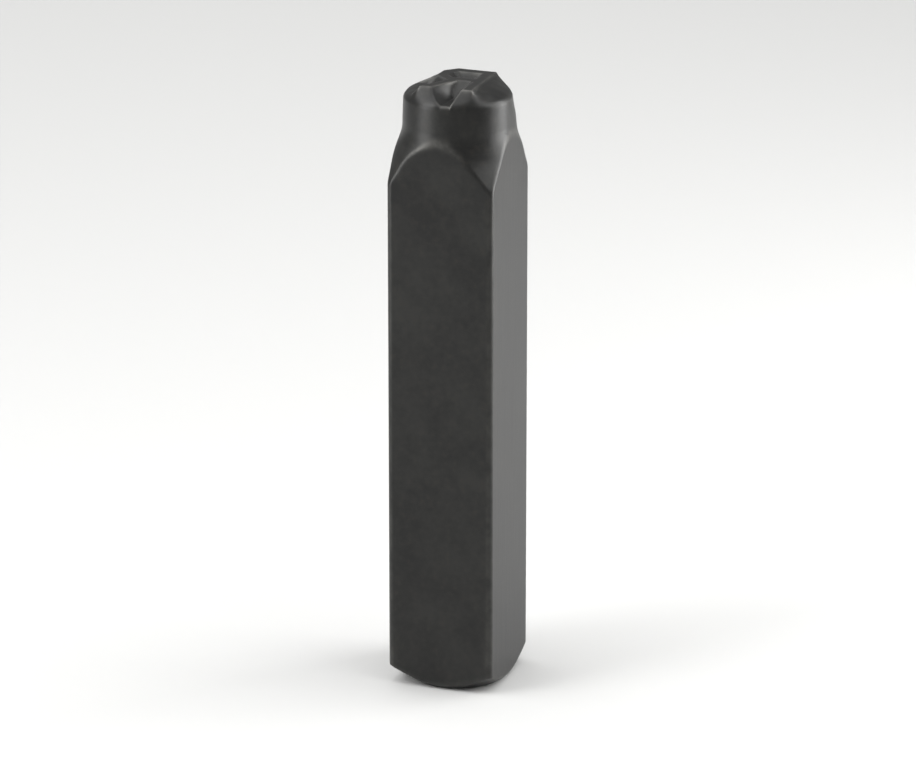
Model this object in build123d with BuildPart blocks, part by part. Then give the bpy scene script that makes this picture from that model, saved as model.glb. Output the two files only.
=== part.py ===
from build123d import *

import math
import os

# A steel letter punch: a square bar, turned round at its working end, which carries one letter
# in relief. It stands on its struck end with the letter on top. The origin is the centre of the
# struck end, +Z runs along the bar, and the letter's feet point to -Y. All sizes are in mm.

# The bar
shank_width = 12.0
shank_edge_radius = 0.6
overall_length = 68.0

# The turned working end: a neck that widens down a cone into the bar
face_radius = 5.75
neck_radius = 5.85
neck_length = 4.1
neck_blend_radius = 4.5
cone_half_angle = 26.0
rim_radius = 0.45

# The struck end, turned off at its corners
struck_face_radius = 5.3
struck_chamfer_angle = 35.0

# The letter R in mirror image, made of straight strokes, with sides that slope down to the face
letter_height = 7.6
letter_width = 5.8
stroke_width = 1.1
bowl_width = 5.4
bowl_height = 4.3
bowl_corner_cut = 1.2
leg_lean_run = 1.9
relief_height = 1.5
relief_foot_radius = 5.25

# The hollow between the stem and the leg, which runs out through the front of the rim
leg_gap_centre = 0.5
leg_gap_floor_width = 0.5
leg_gap_mouth_width = 1.2
leg_gap_wall_run = 1.6

# The hollow between the bowl and the leg, which runs out to the side
side_gap_depth = 0.9
side_gap_floor_share = 0.82

# The hollow inside the bowl
counter_depth = 0.8
counter_corner_cut = 0.5
counter_floor_share = 0.45

# The weight of one cubic millimetre of steel, in grams
steel_density = 0.00785

# Room by which turning profiles and cutters pass the stock
cut_clearance = 1.0

# Heights and places that follow from the sizes above
face_height = overall_length - relief_height
stock_radius = shank_width / math.sqrt(2) + cut_clearance
cone_foot_height = (
    face_height
    - neck_length
    - (stock_radius - neck_radius) / math.tan(math.radians(cone_half_angle))
)
struck_chamfer_height = (stock_radius - struck_face_radius) * math.tan(
    math.radians(struck_chamfer_angle)
)
letter_front = -letter_height / 2
letter_back = letter_height / 2
letter_left = -letter_width / 2
letter_right = letter_width / 2
stem_left = letter_right - stroke_width
bowl_left = letter_right - bowl_width
bowl_front = letter_back - bowl_height
leg_slope = leg_lean_run / (bowl_front - letter_front)
leg_width_across = stroke_width * math.hypot(1, leg_slope)


def leg_outside(y):
    """Where the leg's outer edge lies at the distance y from the shank's axis."""
    return letter_left + (y - letter_front) * leg_slope


def leg_inside(y):
    """Where the leg's edge on the side of the stem lies at the distance y."""
    return leg_outside(y) + leg_width_across


def shrunk(points, centre, share):
    """The same shape, smaller by the share and drawn in towards the centre."""
    return [
        (centre[0] + (x - centre[0]) * share, centre[1] + (y - centre[1]) * share)
        for x, y in points
    ]


# The letter's outer corners, and the round foot of its sloping sides in as many arcs, which
# start in line with those corners
letter_corners = [
    (letter_left, letter_front),
    (letter_right, letter_front),
    (letter_right, letter_back),
    (bowl_left + bowl_corner_cut, letter_back),
    (bowl_left, letter_back - bowl_corner_cut),
]
corner_angles = [math.degrees(math.atan2(y, x)) for x, y in letter_corners]

# The hollow between the stem and the leg, at the letter's top and at the face
cutter_reach = face_radius + cut_clearance
gap_mouth = -cutter_reach
gap_floor_back = bowl_front - leg_gap_wall_run
leg_gap_corners = [
    (leg_inside(gap_mouth), gap_mouth),
    (stem_left, gap_mouth),
    (stem_left, bowl_front),
    (leg_inside(bowl_front), bowl_front),
]
leg_gap_floor_corners = [
    (leg_gap_centre - leg_gap_mouth_width / 2, gap_mouth),
    (leg_gap_centre + leg_gap_mouth_width / 2, gap_mouth),
    (leg_gap_centre + leg_gap_floor_width / 2, gap_floor_back),
    (leg_gap_centre - leg_gap_floor_width / 2, gap_floor_back),
]

# The hollow between the bowl and the leg
side_gap_foot = letter_front - (cutter_reach + letter_left) / leg_slope
side_gap_corners = [
    (leg_outside(bowl_front), bowl_front),
    (bowl_left, bowl_front + bowl_corner_cut),
    (-cutter_reach, bowl_front + bowl_corner_cut),
    (-cutter_reach, side_gap_foot),
]
side_gap_centre = (-cutter_reach, (bowl_front + letter_front) / 2)

# The hollow inside the bowl
counter_left = bowl_left + stroke_width
counter_front = bowl_front + stroke_width
counter_back = letter_back - stroke_width
counter_corners = [
    (counter_left + counter_corner_cut, counter_front),
    (stem_left, counter_front),
    (stem_left, counter_back),
    (counter_left + counter_corner_cut, counter_back),
    (counter_left, counter_back - counter_corner_cut),
    (counter_left, counter_front + counter_corner_cut),
]
counter_centre = ((counter_left + stem_left) / 2, (counter_front + counter_back) / 2)

with BuildPart() as letter_punch:
    # The square bar, up to the face that carries the letter
    with BuildSketch(Plane.XY):
        RectangleRounded(shank_width, shank_width, shank_edge_radius)
    extrude(amount=face_height)

    # Turning leaves the neck, the cone and the struck end's slope, and an arch on each flat
    with BuildSketch(Plane.XZ):
        with BuildLine():
            FilletPolyline(
                (0, 0),
                (struck_face_radius, 0),
                (stock_radius, struck_chamfer_height),
                (stock_radius, cone_foot_height),
                (neck_radius, face_height - neck_length),
                (face_radius, face_height),
                (0, face_height),
                radius=[0, 0, 0, 0, neck_blend_radius, rim_radius, 0],
                close=True,
            )
        make_face()
    revolve(axis=Axis.Z, mode=Mode.INTERSECT)

    # The letter's body, from its round foot on the face to its flat top
    with BuildSketch(Plane.XY.offset(face_height)):
        with BuildLine():
            for start, end in zip(corner_angles, corner_angles[1:] + corner_angles[:1]):
                CenterArc((0, 0), relief_foot_radius, start, (end - start) % 360)
        make_face()
    with BuildSketch(Plane.XY.offset(overall_length)):
        Polygon(*letter_corners, align=None)
    loft(ruled=True)

    # The hollow between the stem and the leg
    with BuildSketch(Plane.XY.offset(face_height)):
        Polygon(*leg_gap_floor_corners, align=None)
    with BuildSketch(Plane.XY.offset(overall_length)):
        Polygon(*leg_gap_corners, align=None)
    loft(ruled=True, mode=Mode.SUBTRACT)

    # The hollow between the bowl and the leg
    with BuildSketch(Plane.XY.offset(overall_length - side_gap_depth)):
        Polygon(*shrunk(side_gap_corners, side_gap_centre, side_gap_floor_share), align=None)
    with BuildSketch(Plane.XY.offset(overall_length)):
        Polygon(*side_gap_corners, align=None)
    loft(ruled=True, mode=Mode.SUBTRACT)

    # The hollow inside the bowl
    with BuildSketch(Plane.XY.offset(overall_length - counter_depth)):
        Polygon(*shrunk(counter_corners, counter_centre, counter_floor_share), align=None)
    with BuildSketch(Plane.XY.offset(overall_length)):
        Polygon(*counter_corners, align=None)
    loft(ruled=True, mode=Mode.SUBTRACT)

letter_punch.part.label = "letter_punch"

os.makedirs("parts", exist_ok=True)
export_step(letter_punch.part, "parts/letter_punch.step")

print("mass in g:", round(letter_punch.part.volume * steel_density, 1))
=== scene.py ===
import math

import bpy
import numpy as np
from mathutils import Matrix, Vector


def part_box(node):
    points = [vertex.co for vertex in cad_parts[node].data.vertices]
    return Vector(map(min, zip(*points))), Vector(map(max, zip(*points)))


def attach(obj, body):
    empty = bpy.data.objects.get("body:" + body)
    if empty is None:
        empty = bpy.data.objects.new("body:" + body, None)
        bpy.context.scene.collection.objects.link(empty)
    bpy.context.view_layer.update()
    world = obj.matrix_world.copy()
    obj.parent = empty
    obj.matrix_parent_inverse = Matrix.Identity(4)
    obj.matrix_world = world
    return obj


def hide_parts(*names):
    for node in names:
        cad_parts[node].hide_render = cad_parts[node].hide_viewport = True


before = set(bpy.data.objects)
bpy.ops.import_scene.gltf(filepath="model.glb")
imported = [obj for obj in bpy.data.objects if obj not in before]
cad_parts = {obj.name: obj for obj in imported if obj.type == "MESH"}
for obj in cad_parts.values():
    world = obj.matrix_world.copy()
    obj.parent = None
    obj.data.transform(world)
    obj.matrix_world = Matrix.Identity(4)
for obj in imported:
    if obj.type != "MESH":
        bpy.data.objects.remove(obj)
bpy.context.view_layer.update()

# The shapes below are the CAD solid's, in millimetres, with softened edges. The mesh is made in
# millimetres too and scaled to metres when it is written. Heights go up from the struck end. The
# neck's depths go down from the face that carries the letter, and the hollows' from its top.
MM = 0.001
SMALL = 1e-6
EIGHTH_TURN = math.pi / 4
CAD_LOW, CAD_HIGH = (np.array(corner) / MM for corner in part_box("letter_punch"))
SHANK_HALF = (CAD_HIGH[0] - CAD_LOW[0]) / 2
OVERALL_LENGTH = CAD_HIGH[2]
SHANK_EDGE_RADIUS = 0.6

RELIEF_HEIGHT = 1.5
FACE_HEIGHT = OVERALL_LENGTH - RELIEF_HEIGHT
FACE_RADIUS = 5.75
NECK_RADIUS = 5.85
NECK_LENGTH = 4.1
NECK_BLEND_RADIUS = 4.5
CONE_HALF_ANGLE = math.radians(26)
RIM_RADIUS = 0.45
STRUCK_FACE_RADIUS = 5.3
STRUCK_CHAMFER_ANGLE = math.radians(35)

# The letter, an R in mirror image, and its three hollows
LETTER_HEIGHT = 7.6
LETTER_WIDTH = 5.8
STROKE_WIDTH = 1.1
BOWL_WIDTH = 5.4
BOWL_HEIGHT = 4.3
BOWL_CORNER_CUT = 1.2
LEG_LEAN_RUN = 1.9
LEG_GAP_CENTRE = 0.5
LEG_GAP_FLOOR_WIDTH = 0.5
LEG_GAP_MOUTH_WIDTH = 1.2
LEG_GAP_WALL_RUN = 1.6
SIDE_GAP_DEPTH = 0.9
SIDE_GAP_FLOOR_SHARE = 0.82
COUNTER_DEPTH = 0.8
COUNTER_CORNER_CUT = 0.5
COUNTER_FLOOR_SHARE = 0.45
CUT_CLEARANCE = 1.0
CUTTER_REACH = FACE_RADIUS + CUT_CLEARANCE

# How softly surfaces run into each other. The neck's softness lifts the corner at the cone as
# far as a fillet of the blend's radius does.
ARCH_SOFTNESS = 0.24
NECK_SOFTNESS = 4 * NECK_BLEND_RADIUS * (1 / math.cos(CONE_HALF_ANGLE / 2) - 1)
RELIEF_SOFTNESS = 0.22
HOLLOW_SOFTNESS = 0.06
GAP_FLOOR_SOFTNESS = 0.1
GAP_END_SOFTNESS = 0.25

# The shortest run over which the hollow's wall on the leg's side climbs to the letter's top
WALL_RUN_LEAST = 0.1

# The letter's sides: how round they are, and the step down that they start with
FLANK_ROUNDNESS = 1.15
LETTER_STEP = 0.10
LETTER_STEP_RUN = 0.35

# The neck keeps a little of the bar's squareness, most at one depth below the face
NECK_SWELL = 0.2
NECK_SWELL_DEPTH = 3.0
NECK_SWELL_REACH = 2.6

# It also bulges a little towards one side, and the power sets how narrow the bulge is
BULGE = 0.45
BULGE_ANGLE = math.radians(50)
BULGE_POWER = 4
BULGE_DEPTH = 3.4
BULGE_REACH = 2.0

# Lower down it is slightly oval: longer towards that side and the one behind it
OVAL = 0.22
OVAL_DEPTH = 6.2
OVAL_REACH = 1.5

# The rim isn't quite round: how many waves go round it, how high they are and at which angle
# they start. The face is pulled after the rim, most at its edge.
RIM_WAVES = {2: (0.05, 0.6), 3: (0.04, 2.2), 5: (0.025, 4.0)}
RIM_WAVE_REACH = 2.5
RIM_PULL_POWER = 4

# The skin of the letter's sides and of the rim is lumpy, as hot forming leaves it. The letter's
# top was ground flat, so the lumps fade out between two depths below it.
LUMP_HEIGHT = 0.05
LUMP_WAVES = 9
LUMP_LENGTH = (1.2, 3.5)
LUMP_FADE = (0.1, 0.7)
LUMP_SEED = 4

# The grid: cells across the face, and rings down each stretch of the side. They lie closest
# between the depths below the face where the arches have their tops.
FACE_CELLS = 156
RIM_CELLS = 8
NECK_RINGS = 17
ARCH_TOP_DEPTHS = (3.2, 5.2)
ARCH_TOP_RINGS = 36
ARCH_RINGS = 22
SHANK_RINGS = 6
STRUCK_RINGS = 12
STRUCK_FACE_RINGS = 4

# The wear along the arches' edges, which is partly real wear and partly a painted highlight:
# pale steel that stands in for the light the rounded edge catches, strongest near the arches'
# tops. How strong it is, how far the turned and the square surface lie apart where most of it
# has gone, and the depths between which it fades to a share of itself. There is none where the
# turned surface hardly slopes, and all of it from a certain slope on, which is measured over a
# small step down.
ARCH_WEAR_AND_HIGHLIGHT = 0.5
ARCH_WEAR_AND_HIGHLIGHT_REACH = 0.16
ARCH_WEAR_AND_HIGHLIGHT_FADE = (4.4, 6.0)
ARCH_WEAR_AND_HIGHLIGHT_LEFT = 0.12
ARCH_WEAR_AND_HIGHLIGHT_SLOPE = (0.08, 0.22)
SLOPE_STEP = 0.05

# Curvature, in 1/mm, at which an edge starts to look worn and is as worn as it gets
EDGE_CURVATURE = (1.0, 6.0)
EDGE_SMOOTHINGS = 4


def soft_min(a, b, softness):
    """The smaller of two values, with a rounded change from one to the other."""
    mix = np.clip(0.5 + 0.5 * (b - a) / softness, 0, 1)
    return b + (a - b) * mix - softness * mix * (1 - mix)


def soft_max(a, b, softness):
    """The larger of two values, with a rounded change from one to the other."""
    return -soft_min(-a, -b, softness)


def ramp(value, low, high):
    """0 at low, 1 at high, and straight between them."""
    return np.clip((value - low) / (high - low), 0, 1)


def soft_ramp(value):
    """0 at 0, 1 at 1, and a smooth S between them."""
    value = np.clip(value, 0, 1)
    return value * value * (3 - 2 * value)


def bell(offset, reach):
    """1 where the offset is 0, falling off smoothly on both sides within about the reach."""
    return np.exp(-((offset / reach) ** 2))


# The letter

FRONT = -LETTER_HEIGHT / 2
BACK = LETTER_HEIGHT / 2
LEFT = -LETTER_WIDTH / 2
RIGHT = LETTER_WIDTH / 2
STEM_LEFT = RIGHT - STROKE_WIDTH
BOWL_LEFT = RIGHT - BOWL_WIDTH
BOWL_FRONT = BACK - BOWL_HEIGHT
LEG_SLOPE = LEG_LEAN_RUN / (BOWL_FRONT - FRONT)
LEG_WIDTH_ACROSS = STROKE_WIDTH * math.hypot(1, LEG_SLOPE)
GAP_FLOOR_BACK = BOWL_FRONT - LEG_GAP_WALL_RUN


def leg_outside(y):
    """Where the leg's outer edge lies at the distance y from the axis."""
    return LEFT + (y - FRONT) * LEG_SLOPE


def leg_inside(y):
    """Where the leg's edge on the side of the stem lies."""
    return leg_outside(y) + LEG_WIDTH_ACROSS


# Corners go round anticlockwise
LETTER_CORNERS = [
    (LEFT, FRONT),
    (RIGHT, FRONT),
    (RIGHT, BACK),
    (BOWL_LEFT + BOWL_CORNER_CUT, BACK),
    (BOWL_LEFT, BACK - BOWL_CORNER_CUT),
]
SIDE_GAP_CORNERS = [
    (leg_outside(BOWL_FRONT), BOWL_FRONT),
    (BOWL_LEFT, BOWL_FRONT + BOWL_CORNER_CUT),
    (-CUTTER_REACH, BOWL_FRONT + BOWL_CORNER_CUT),
    (-CUTTER_REACH, FRONT - (CUTTER_REACH + LEFT) / LEG_SLOPE),
]
SIDE_GAP_CENTRE = (-CUTTER_REACH, (BOWL_FRONT + FRONT) / 2)
COUNTER_LEFT = BOWL_LEFT + STROKE_WIDTH
COUNTER_FRONT = BOWL_FRONT + STROKE_WIDTH
COUNTER_BACK = BACK - STROKE_WIDTH
COUNTER_CORNERS = [
    (COUNTER_LEFT + COUNTER_CORNER_CUT, COUNTER_FRONT),
    (STEM_LEFT, COUNTER_FRONT),
    (STEM_LEFT, COUNTER_BACK),
    (COUNTER_LEFT + COUNTER_CORNER_CUT, COUNTER_BACK),
    (COUNTER_LEFT, COUNTER_BACK - COUNTER_CORNER_CUT),
    (COUNTER_LEFT, COUNTER_FRONT + COUNTER_CORNER_CUT),
]
COUNTER_CENTRE = ((COUNTER_LEFT + STEM_LEFT) / 2, (COUNTER_FRONT + COUNTER_BACK) / 2)


def sides(corners):
    """Each side of a closed line through the corners: its start and its end."""
    return zip(corners, corners[1:] + corners[:1])


def distance_outside(x, y, corners):
    """How far a point lies outside the shape; 0 within it."""
    nearest = np.full_like(x, np.inf)
    outside = np.zeros(x.shape, dtype=bool)
    for (ax, ay), (bx, by) in sides(corners):
        run, rise = bx - ax, by - ay
        along = np.clip(((x - ax) * run + (y - ay) * rise) / (run**2 + rise**2), 0, 1)
        nearest = np.minimum(nearest, np.hypot(x - ax - along * run, y - ay - along * rise))
        outside |= (x - ax) * rise - (y - ay) * run > 0
    return np.where(outside, nearest, 0)


def scale_reached(x, y, corners, centre):
    """The scale about the centre at which the shape's outline passes through a point."""
    scale = np.full_like(x, -1.0)
    for (ax, ay), (bx, by) in sides(corners):
        run, rise = bx - ax, by - ay
        whole = (ax - centre[0]) * rise - (ay - centre[1]) * run
        if abs(whole) > SMALL:
            part = ((x - centre[0]) * rise - (y - centre[1]) * run) / whole
            scale = soft_max(scale, part, HOLLOW_SOFTNESS)
    return scale


def hollow(x, y, corners, centre, depth, floor_share):
    """How deep a hollow is whose walls slope from its outline to a smaller floor.

    Outside the outline the walls go on upwards, and the depth is below 0.
    """
    scale = scale_reached(x, y, corners, centre)
    return depth * np.minimum((1 - scale) / (1 - floor_share), 1)


def leg_gap(x, y):
    """Height above the face of the walls of the hollow between the stem and the leg.

    The walls go on upwards beyond the letter's top.
    """
    widening = (LEG_GAP_MOUTH_WIDTH - LEG_GAP_FLOOR_WIDTH) / 2
    half = LEG_GAP_FLOOR_WIDTH / 2 + widening * ramp(y, GAP_FLOOR_BACK, -CUTTER_REACH)
    floor_left, floor_right = LEG_GAP_CENTRE - half, LEG_GAP_CENTRE + half
    left = (floor_left - x) / np.maximum(floor_left - leg_inside(y), WALL_RUN_LEAST)
    right = (x - floor_right) / (STEM_LEFT - floor_right)
    end = (y - GAP_FLOOR_BACK) / (BOWL_FRONT - GAP_FLOOR_BACK)
    walls = soft_max(soft_max(left, right, GAP_FLOOR_SOFTNESS), end, GAP_END_SOFTNESS)
    return RELIEF_HEIGHT * np.maximum(walls, 0)


def lumps(x, y):
    """An uneven surface from -1 to 1, made of waves that run in many directions."""
    random = np.random.default_rng(LUMP_SEED)
    total = np.zeros_like(x)
    for _ in range(LUMP_WAVES):
        turn = random.uniform(0, math.tau)
        length = random.uniform(*LUMP_LENGTH)
        start = random.uniform(0, math.tau)
        along = x * math.cos(turn) + y * math.sin(turn)
        total += np.sin(along * math.tau / length + start)
    return total / LUMP_WAVES


def relief(x, y):
    """Height of the letter and its sloping sides above the face."""
    away = distance_outside(x, y, LETTER_CORNERS)
    to_rim = np.maximum(FACE_RADIUS - np.hypot(x, y), 0)
    share = to_rim / (to_rim + away + SMALL)
    flank = RELIEF_HEIGHT * (1 - (1 - share) ** FLANK_ROUNDNESS)
    flank -= LETTER_STEP * share * soft_ramp(away / LETTER_STEP_RUN)
    side = hollow(x, y, SIDE_GAP_CORNERS, SIDE_GAP_CENTRE, SIDE_GAP_DEPTH, SIDE_GAP_FLOOR_SHARE)
    counter = hollow(x, y, COUNTER_CORNERS, COUNTER_CENTRE, COUNTER_DEPTH, COUNTER_FLOOR_SHARE)
    height = soft_min(flank, leg_gap(x, y), RELIEF_SOFTNESS)
    height = soft_min(height, RELIEF_HEIGHT - side, RELIEF_SOFTNESS)
    height = soft_min(height, RELIEF_HEIGHT - counter, RELIEF_SOFTNESS)
    skin = ramp(RELIEF_HEIGHT - height, *LUMP_FADE)
    return height - LUMP_HEIGHT * skin * (1 + lumps(x, y))


# The turned and the square outline


def rim_waves(angle, depth):
    """How far the rim, and the neck close below it, stand out of round."""
    waves = sum(size * np.sin(turns * angle + start) for turns, (size, start) in RIM_WAVES.items())
    return waves * bell(depth, RIM_WAVE_REACH)


def turned_radius(angle, z):
    """Radius that turning leaves at the height z, without the rim's rounding."""
    depth = FACE_HEIGHT - z
    neck = FACE_RADIUS + (NECK_RADIUS - FACE_RADIUS) * depth / NECK_LENGTH
    cone = NECK_RADIUS + (depth - NECK_LENGTH) * math.tan(CONE_HALF_ANGLE)
    struck = STRUCK_FACE_RADIUS + z / math.tan(STRUCK_CHAMFER_ANGLE)
    swell = NECK_SWELL * bell(depth - NECK_SWELL_DEPTH, NECK_SWELL_REACH)
    towards_corner = np.sin(2 * angle) ** 2
    bulge = BULGE * bell(depth - BULGE_DEPTH, BULGE_REACH)
    towards_bulge = np.maximum(np.cos(angle - BULGE_ANGLE), 0) ** BULGE_POWER
    oval = OVAL * bell(depth - OVAL_DEPTH, OVAL_REACH)
    along_oval = np.cos(2 * (angle - BULGE_ANGLE))
    shaped = soft_max(neck, cone, NECK_SOFTNESS) + swell * towards_corner + bulge * towards_bulge
    return np.minimum(shaped + oval * along_oval + rim_waves(angle, depth), struck)


def square_radius(angle):
    """Distance from the axis to the rounded square bar in the direction of the angle."""
    turn = abs((angle + EIGHTH_TURN) % (2 * EIGHTH_TURN) - EIGHTH_TURN)
    flat = SHANK_HALF / np.cos(turn)
    centre = SHANK_HALF - SHANK_EDGE_RADIUS
    middle = centre * (np.cos(turn) + np.sin(turn))
    inside = np.maximum(middle**2 - 2 * centre**2 + SHANK_EDGE_RADIUS**2, 0)
    rounded = middle + np.sqrt(inside)
    return np.where(turn > math.atan2(centre, SHANK_HALF), rounded, flat)


# The mesh


def disc_grid(cells):
    """A square grid pressed into a disc: each point's share of the radius, and its angle."""
    steps = np.linspace(-1, 1, cells + 1)
    a, b = np.meshgrid(steps, steps, indexing="ij")
    wide = abs(a) >= abs(b)
    share = np.where(wide, a, b)
    safe = np.where(share == 0, 1, share)
    angle = np.where(wide, EIGHTH_TURN * b / safe, 2 * EIGHTH_TURN - EIGHTH_TURN * a / safe)
    return abs(share), np.where(share < 0, angle + math.pi, angle)


def face_points():
    """Points of the face, from its centre out over the rim's rounding."""
    share, angle = disc_grid(FACE_CELLS)
    rim_start = 1 - 2 * RIM_CELLS / FACE_CELLS
    turn = ramp(share, rim_start, 1) * 2 * EIGHTH_TURN
    inner_radius = (FACE_RADIUS - RIM_RADIUS) * np.minimum(share / rim_start, 1)
    radius = inner_radius + RIM_RADIUS * np.sin(turn)
    x, y = radius * np.cos(angle), radius * np.sin(angle)
    z = FACE_HEIGHT - RIM_RADIUS * (1 - np.cos(turn)) + relief(x, y)
    # The outer part follows the outline of the neck where the rim's rounding ends
    wider = turned_radius(angle, FACE_HEIGHT - RIM_RADIUS) / FACE_RADIUS
    spread = 1 + (wider - 1) * (radius / FACE_RADIUS) ** RIM_PULL_POWER
    return np.stack([x * spread, y * spread, z], axis=-1)


def grid_quads(cells):
    """The grid's quads, as numbers of its points."""
    width = cells + 1
    corners = [row * width + column for row in range(cells) for column in range(cells)]
    return [(corner, corner + width, corner + width + 1, corner + 1) for corner in corners]


def grid_border(cells):
    """Row and column of each grid point on the border, going round by rising angle."""
    steps = range(cells)
    return (
        [(cells, step) for step in steps]
        + [(cells - step, cells) for step in steps]
        + [(0, cells - step) for step in steps]
        + [(step, 0) for step in steps]
    )


def ring_heights():
    """Heights of the rings, from below the face's rim to the struck face."""
    corner = SHANK_HALF * math.sqrt(2)
    arch_top_start, arch_top_end = (FACE_HEIGHT - depth for depth in ARCH_TOP_DEPTHS)
    neck_end = FACE_HEIGHT - NECK_LENGTH - (corner - NECK_RADIUS) / math.tan(CONE_HALF_ANGLE)
    struck_end = (corner - STRUCK_FACE_RADIUS) * math.tan(STRUCK_CHAMFER_ANGLE)
    return np.concatenate(
        [
            np.linspace(FACE_HEIGHT - RIM_RADIUS, arch_top_start, NECK_RINGS + 1)[1:],
            np.linspace(arch_top_start, arch_top_end, ARCH_TOP_RINGS + 1)[1:],
            np.linspace(arch_top_end, neck_end, ARCH_RINGS + 1)[1:],
            np.linspace(neck_end, struck_end, SHANK_RINGS + 1)[1:],
            np.linspace(struck_end, 0, STRUCK_RINGS + 1)[1:],
        ]
    )


def ring_points(radius, angles, z):
    """Points round the axis at one height, one in each direction."""
    return np.stack([radius * np.cos(angles), radius * np.sin(angles), np.full_like(angles, z)], -1)


def arch_wear_and_highlight(angles, z, apart):
    """How worn the arches' edges are at one height, together with the painted highlight there."""
    kept = 1 - (1 - ARCH_WEAR_AND_HIGHLIGHT_LEFT) * ramp(FACE_HEIGHT - z, *ARCH_WEAR_AND_HIGHLIGHT_FADE)
    slope = (turned_radius(angles, z - SLOPE_STEP) - turned_radius(angles, z)) / SLOPE_STEP
    kept = kept * ramp(slope, *ARCH_WEAR_AND_HIGHLIGHT_SLOPE)
    return ARCH_WEAR_AND_HIGHLIGHT * kept * bell(apart, ARCH_WEAR_AND_HIGHLIGHT_REACH)


def side_rings(angles):
    """Each ring down the side and in over the struck face, and last that face's centre.

    A ring is its points, how far each lies on turned steel, from 0 to 1, and how worn it is, with
    the arches' painted highlight counted in.
    """
    square = square_radius(angles)
    for z in ring_heights():
        turned = turned_radius(angles, z)
        apart = square - turned
        points = ring_points(soft_min(turned, square, ARCH_SOFTNESS), angles, z)
        turned_share = ramp(apart, -ARCH_SOFTNESS / 2, ARCH_SOFTNESS / 2)
        yield points, turned_share, arch_wear_and_highlight(angles, z, apart)
    for step in range(STRUCK_FACE_RINGS):
        radius = STRUCK_FACE_RADIUS * (1 - (step + 1) / (STRUCK_FACE_RINGS + 1))
        yield ring_points(radius, angles, 0), np.ones_like(angles), np.zeros_like(angles)
    yield np.zeros((1, 3)), np.ones(1), np.zeros(1)


def edge_mask(mesh):
    """How sharply each vertex's surface turns outwards: 0 where it is flat, 1 on an edge."""
    points = np.zeros(len(mesh.vertices) * 3)
    normals = np.zeros(len(mesh.vertices) * 3)
    ends = np.zeros(len(mesh.edges) * 2, dtype=int)
    mesh.vertices.foreach_get("co", points)
    mesh.vertex_normals.foreach_get("vector", normals)
    mesh.edges.foreach_get("vertices", ends)
    points = points.reshape(-1, 3) / MM
    normals = normals.reshape(-1, 3)
    ends = ends.reshape(-1, 2)
    sharpest = np.zeros(len(points))
    neighbours = np.bincount(ends.ravel(), minlength=len(points))
    for here, there in ((ends[:, 0], ends[:, 1]), (ends[:, 1], ends[:, 0])):
        step = points[here] - points[there]
        # Curvature along the mesh edge, above 0 where the surface turns outwards
        bend = 2 * np.einsum("ij,ij->i", step, normals[here]) / np.einsum("ij,ij->i", step, step)
        np.maximum.at(sharpest, here, bend)
    mask = ramp(sharpest, *EDGE_CURVATURE)
    for _ in range(EDGE_SMOOTHINGS):
        around = np.zeros(len(points))
        np.add.at(around, ends[:, 0], mask[ends[:, 1]])
        np.add.at(around, ends[:, 1], mask[ends[:, 0]])
        mask = (mask + around / neighbours) / 2
    return mask


def punch_mesh():
    """The whole punch as one closed mesh, with what its material needs to know."""
    face = face_points()
    border = grid_border(FACE_CELLS)
    angles = np.array([math.atan2(face[at][1], face[at][0]) for at in border])
    points, turned, wear_and_highlight = zip(*side_rings(angles))
    face_count = (FACE_CELLS + 1) ** 2
    on_face = np.zeros(face_count)
    turned = np.concatenate([on_face, *turned])
    flat = np.concatenate([on_face, 1 - turned[face_count:]])

    # Each ring joins on to the one above it, and the last one to the struck face's centre
    faces = grid_quads(FACE_CELLS)
    upper = [row * (FACE_CELLS + 1) + column for row, column in border]
    count = face_count
    for _ in points[:-1]:
        lower = list(range(count, count + len(border)))
        faces += [(a, c, d, b) for (a, b), (c, d) in zip(sides(upper), sides(lower))]
        upper = lower
        count += len(border)
    faces += [(a, count, b) for a, b in sides(upper)]

    mesh = bpy.data.meshes.new("punch_body")
    mesh.from_pydata((np.concatenate([face.reshape(-1, 3), *points]) * MM).tolist(), [], faces)
    mesh.polygons.foreach_set("use_smooth", [True] * len(mesh.polygons))
    mesh.update()
    # The edges' wear from curvature, and along the arches wear that is partly a painted highlight
    edge = np.maximum(edge_mask(mesh), np.concatenate([on_face, *wear_and_highlight]))
    for name, values in {"turned": turned, "flat": flat, "edge": edge}.items():
        mesh.attributes.new(name, "FLOAT", "POINT").data.foreach_set("value", values)
    return mesh


# The finish


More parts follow.
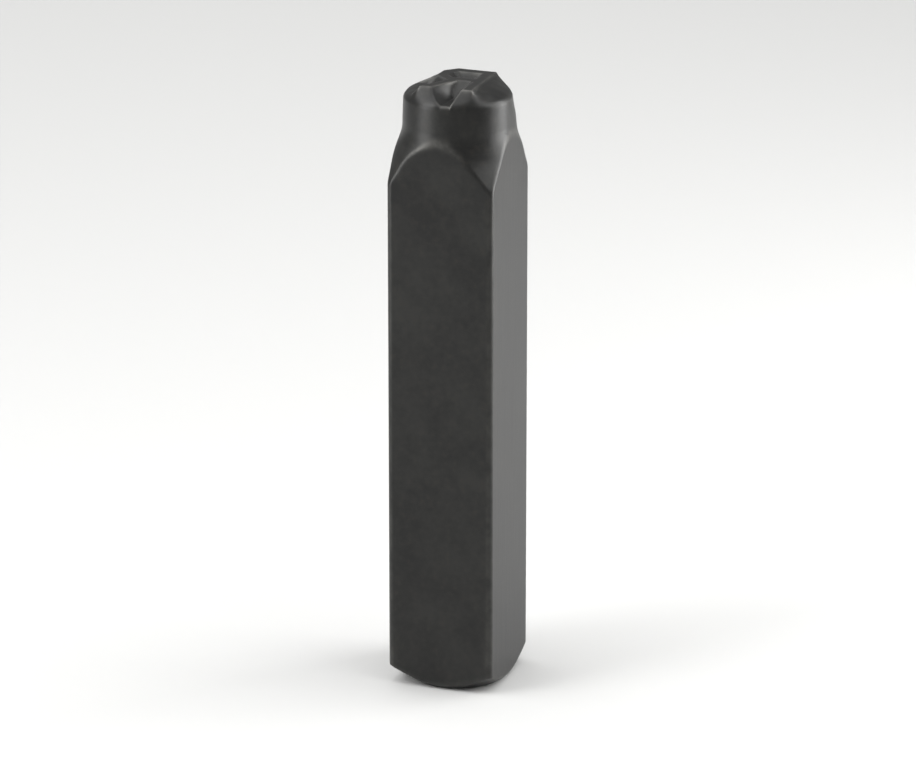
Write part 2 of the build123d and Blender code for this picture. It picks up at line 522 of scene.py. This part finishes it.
class Nodes:
    """Short names for the shader nodes that the finish is made of."""

    def __init__(self, material):
        self.tree = material.node_tree
        self.shader = self.tree.nodes["Principled BSDF"]

    def put(self, socket, value):
        """Links another node's output to the socket, or sets the socket's own value."""
        if isinstance(value, bpy.types.NodeSocket):
            self.tree.links.new(value, socket)
        else:
            socket.default_value = value

    def attribute(self, name):
        node = self.tree.nodes.new("ShaderNodeAttribute")
        node.attribute_name = name
        return node.outputs["Fac"]

    def millimetres(self, stretch=(1, 1, 1)):
        """Object coordinates in millimetres, squeezed by the given factors."""
        place = self.tree.nodes.new("ShaderNodeTexCoord")
        scale = self.tree.nodes.new("ShaderNodeVectorMath")
        scale.operation = "MULTIPLY"
        scale.inputs[1].default_value = [factor / MM for factor in stretch]
        self.put(scale.inputs[0], place.outputs["Object"])
        return scale.outputs[0]

    def noise(self, where, scale, detail, roughness):
        node = self.tree.nodes.new("ShaderNodeTexNoise")
        self.put(node.inputs["Vector"], where)
        node.inputs["Scale"].default_value = scale
        node.inputs["Detail"].default_value = detail
        node.inputs["Roughness"].default_value = roughness
        return node.outputs["Fac"]

    def fit(self, value, low, high, to_low=0.0, to_high=1.0):
        """Maps low..high to to_low..to_high, and stops at both ends."""
        node = self.tree.nodes.new("ShaderNodeMapRange")
        self.put(node.inputs["Value"], value)
        self.put(node.inputs["From Min"], low)
        self.put(node.inputs["From Max"], high)
        self.put(node.inputs["To Min"], to_low)
        self.put(node.inputs["To Max"], to_high)
        return node.outputs["Result"]

    def maths(self, operation, a, b):
        node = self.tree.nodes.new("ShaderNodeMath")
        node.operation = operation
        self.put(node.inputs[0], a)
        self.put(node.inputs[1], b)
        return node.outputs[0]

    def mix(self, share, a, b):
        node = self.tree.nodes.new("ShaderNodeMix")
        self.put(node.inputs["Factor"], share)
        self.put(node.inputs["A"], a)
        self.put(node.inputs["B"], b)
        return node.outputs["Result"]

    def mix_colour(self, share, a, b):
        node = self.tree.nodes.new("ShaderNodeMixRGB")
        self.put(node.inputs["Fac"], share)
        self.put(node.inputs["Color1"], a)
        self.put(node.inputs["Color2"], b)
        return node.outputs["Color"]

    def bump(self, height, distance, under=None):
        node = self.tree.nodes.new("ShaderNodeBump")
        self.put(node.inputs["Height"], height)
        node.inputs["Distance"].default_value = distance
        if under is not None:
            self.put(node.inputs["Normal"], under)
        return node.outputs["Normal"]


OXIDE_DARK = (0.0135, 0.0135, 0.0132, 1)
OXIDE_LIGHT = (0.020, 0.020, 0.0188, 1)
OXIDE_BROWN = (0.025, 0.021, 0.017, 1)
# Pale steel where the oxide is worn off; along the arches it is partly a painted highlight
WORN_STEEL_AND_HIGHLIGHT = (0.14, 0.137, 0.128, 1)

# The finish's noises: scale in 1/mm, detail and roughness
PATCHES = (0.22, 3, 0.5)
MOTTLE = (1.3, 5, 0.6)
GRAIN = (9.0, 3, 0.7)
WEAR_PATCHES = (0.6, 3, 0.5)
LINES = (1.0, 2, 0.55)

# How the noise of the lines is squeezed along X, Y and Z: into lines along the drawn flats, and
# into marks round the turned end
DRAWN_SQUEEZE = (4.0, 4.0, 0.08)
TURNED_SQUEEZE = (0.12, 0.12, 5.0)

# The patches' share in the clouding, in which mottling is the rest
PATCH_SHARE = 0.55

# The values of a noise at which its effect starts and is full, and the effect's limit
LIGHT_SPAN = (0.38, 0.62)
BROWN_SPAN = (0.56, 0.78)
BROWN_MOST = 0.35
WEAR_SPAN = (0.36, 0.64)
WEAR_LEAST = 0.3
ROUGHNESS_SPAN = (0.35, 0.65)
LINE_SPAN = (0.3, 0.7)

# Roughness of the drawn flats and of the turned and formed end, from least to most, what the
# lines add or take away, and roughness where the oxide is worn off
FLAT_ROUGHNESS = (0.30, 0.335)
FORMED_ROUGHNESS = (0.32, 0.385)
LINE_ROUGHNESS = 0.015
WORN_ROUGHNESS = 0.30

OXIDE_METALLIC = 0.35
WORN_METALLIC = 0.85
SPECULAR_LEVEL = 0.25

# Heights of the bumps in millimetres, and the grain's share in those of the skin
SKIN_BUMP = 0.004
GRAIN_SHARE = 0.35
LINE_BUMP = 0.003


def black_steel():
    """Black oxide on drawn, turned and hot-formed steel, rubbed thin along its edges, with a
    painted highlight along the arches.
    """
    material = bpy.data.materials.new("black_steel")
    material.use_nodes = True
    nodes = Nodes(material)
    mm = nodes.millimetres()

    # Patches, cloudy mottling and fine grain in the oxide, and lines that follow the surface
    patches = nodes.noise(mm, *PATCHES)
    mottle = nodes.noise(mm, *MOTTLE)
    grain = nodes.noise(mm, *GRAIN)
    drawn = nodes.noise(nodes.millimetres(DRAWN_SQUEEZE), *LINES)
    rings = nodes.noise(nodes.millimetres(TURNED_SQUEEZE), *LINES)
    lines = nodes.mix(nodes.attribute("turned"), drawn, rings)
    cloud = nodes.maths("ADD", nodes.maths("MULTIPLY", patches, PATCH_SHARE),
                        nodes.maths("MULTIPLY", mottle, 1 - PATCH_SHARE))

    # Where the oxide is rubbed off, and along the arches a painted highlight in the same pale steel
    wear_patches = nodes.fit(nodes.noise(mm, *WEAR_PATCHES), *WEAR_SPAN, WEAR_LEAST, 1)
    wear_and_highlight = nodes.maths("MULTIPLY", nodes.attribute("edge"), wear_patches)

    oxide = nodes.mix_colour(nodes.fit(cloud, *LIGHT_SPAN), OXIDE_DARK, OXIDE_LIGHT)
    oxide = nodes.mix_colour(nodes.fit(mottle, *BROWN_SPAN, 0, BROWN_MOST), oxide, OXIDE_BROWN)
    # Pale steel on worn edges; on the arches it is partly a painted highlight
    colour = nodes.mix_colour(wear_and_highlight, oxide, WORN_STEEL_AND_HIGHLIGHT)

    # The drawn flats are smoother than the turned and formed end
    rough = nodes.mix(nodes.attribute("flat"), nodes.fit(cloud, *ROUGHNESS_SPAN, *FORMED_ROUGHNESS),
                      nodes.fit(cloud, *ROUGHNESS_SPAN, *FLAT_ROUGHNESS))
    line_roughness = nodes.fit(lines, *LINE_SPAN, -LINE_ROUGHNESS, LINE_ROUGHNESS)
    rough = nodes.mix(wear_and_highlight, nodes.maths("ADD", rough, line_roughness), WORN_ROUGHNESS)

    skin = nodes.maths("ADD", mottle, nodes.maths("MULTIPLY", grain, GRAIN_SHARE))
    normal = nodes.bump(lines, LINE_BUMP * MM, nodes.bump(skin, SKIN_BUMP * MM))

    shader = nodes.shader
    nodes.put(shader.inputs["Base Color"], colour)
    nodes.put(shader.inputs["Metallic"], nodes.mix(wear_and_highlight, OXIDE_METALLIC, WORN_METALLIC))
    nodes.put(shader.inputs["Roughness"], rough)
    nodes.put(shader.inputs["Normal"], normal)
    shader.inputs["Specular IOR Level"].default_value = SPECULAR_LEVEL
    return material


punch = bpy.data.objects.new("punch_body", punch_mesh())
bpy.context.collection.objects.link(punch)
punch.data.materials.append(black_steel())
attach(punch, "root")
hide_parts("letter_punch")


# The studio, in metres and degrees

FLOOR_HALF = 3.0
FLOOR_COLOUR = (0.42, 0.42, 0.415, 1)
FLOOR_ROUGHNESS = 0.6

CAMERA_AZIMUTH = 20.0
CAMERA_ELEVATION = 19.2
CAMERA_DISTANCE = 0.594
CAMERA_TARGET = Vector((0, 0, OVERALL_LENGTH * MM / 2))
CAMERA_CLIP = (0.01, 20)

# Sensor and lens in millimetres
CAMERA_SENSOR = 36
CAMERA_LENS = 215

# Azimuth from the camera's, distance from the axis, height of the middle, height that it faces,
# width, length and power. The strips stand near the punch and shine along its whole neck.
LIGHTS = {
    "strip_left": (-65, 0.22, 0.13, 0.13, 0.10, 0.26, 0.56),
    "strip_right": (109, 0.22, 0.11, 0.11, 0.09, 0.22, 0.56),
    "strip_front_right": (87, 0.26, 0.12, 0.12, 0.12, 0.24, 0.50),
    "left_top": (-80, 0.60, 0.62, 0.05, 0.6, 0.6, 2.6),
    "right_top": (65, 0.60, 0.62, 0.05, 0.6, 0.6, 3.2),
    "top": (-100, 0.18, 0.90, 0.03, 1.5, 1.5, 18.0),
}
WORLD_COLOUR = (1, 1, 1, 1)
WORLD_STRENGTH = 0.25


def direction(azimuth, elevation):
    """Unit vector from the object towards a camera or light; azimuth 0 is in front, on -Y."""
    a, e = math.radians(azimuth), math.radians(elevation)
    return Vector((math.sin(a) * math.cos(e), -math.cos(a) * math.cos(e), math.sin(e)))


def floor_material():
    material = bpy.data.materials.new("floor_pale")
    material.use_nodes = True
    shader = material.node_tree.nodes["Principled BSDF"]
    shader.inputs["Base Color"].default_value = FLOOR_COLOUR
    shader.inputs["Roughness"].default_value = FLOOR_ROUGHNESS
    return material


def add_floor():
    half = FLOOR_HALF
    corners = [(-half, -half, 0), (half, -half, 0), (half, half, 0), (-half, half, 0)]
    mesh = bpy.data.meshes.new("floor")
    mesh.from_pydata(corners, [], [(0, 1, 2, 3)])
    mesh.materials.append(floor_material())
    floor = bpy.data.objects.new("floor", mesh)
    bpy.context.collection.objects.link(floor)


def add_light(name, azimuth, distance, height, faced_height, width, length, power):
    light = bpy.data.lights.new(name, "AREA")
    light.shape = "RECTANGLE"
    light.size = width
    light.size_y = length
    light.energy = power
    item = bpy.data.objects.new(name, light)
    item.location = direction(CAMERA_AZIMUTH + azimuth, 0) * distance + Vector((0, 0, height))
    away = item.location - Vector((0, 0, faced_height))
    item.rotation_euler = away.to_track_quat("Z", "Y").to_euler()
    bpy.context.collection.objects.link(item)


def add_world():
    world = bpy.data.worlds.new("studio")
    world.use_nodes = True
    background = world.node_tree.nodes["Background"]
    background.inputs["Color"].default_value = WORLD_COLOUR
    background.inputs["Strength"].default_value = WORLD_STRENGTH
    bpy.context.scene.world = world


def add_camera():
    data = bpy.data.cameras.new("camera")
    data.sensor_width = CAMERA_SENSOR
    data.lens = CAMERA_LENS
    data.clip_start, data.clip_end = CAMERA_CLIP
    camera = bpy.data.objects.new("camera", data)
    away = direction(CAMERA_AZIMUTH, CAMERA_ELEVATION)
    camera.location = CAMERA_TARGET + away * CAMERA_DISTANCE
    camera.rotation_euler = away.to_track_quat("Z", "Y").to_euler()
    bpy.context.collection.objects.link(camera)
    bpy.context.scene.camera = camera


add_floor()
for light_name, placing in LIGHTS.items():
    add_light(light_name, *placing)
add_world()
add_camera()
bpy.context.scene.view_settings.view_transform = "Standard"
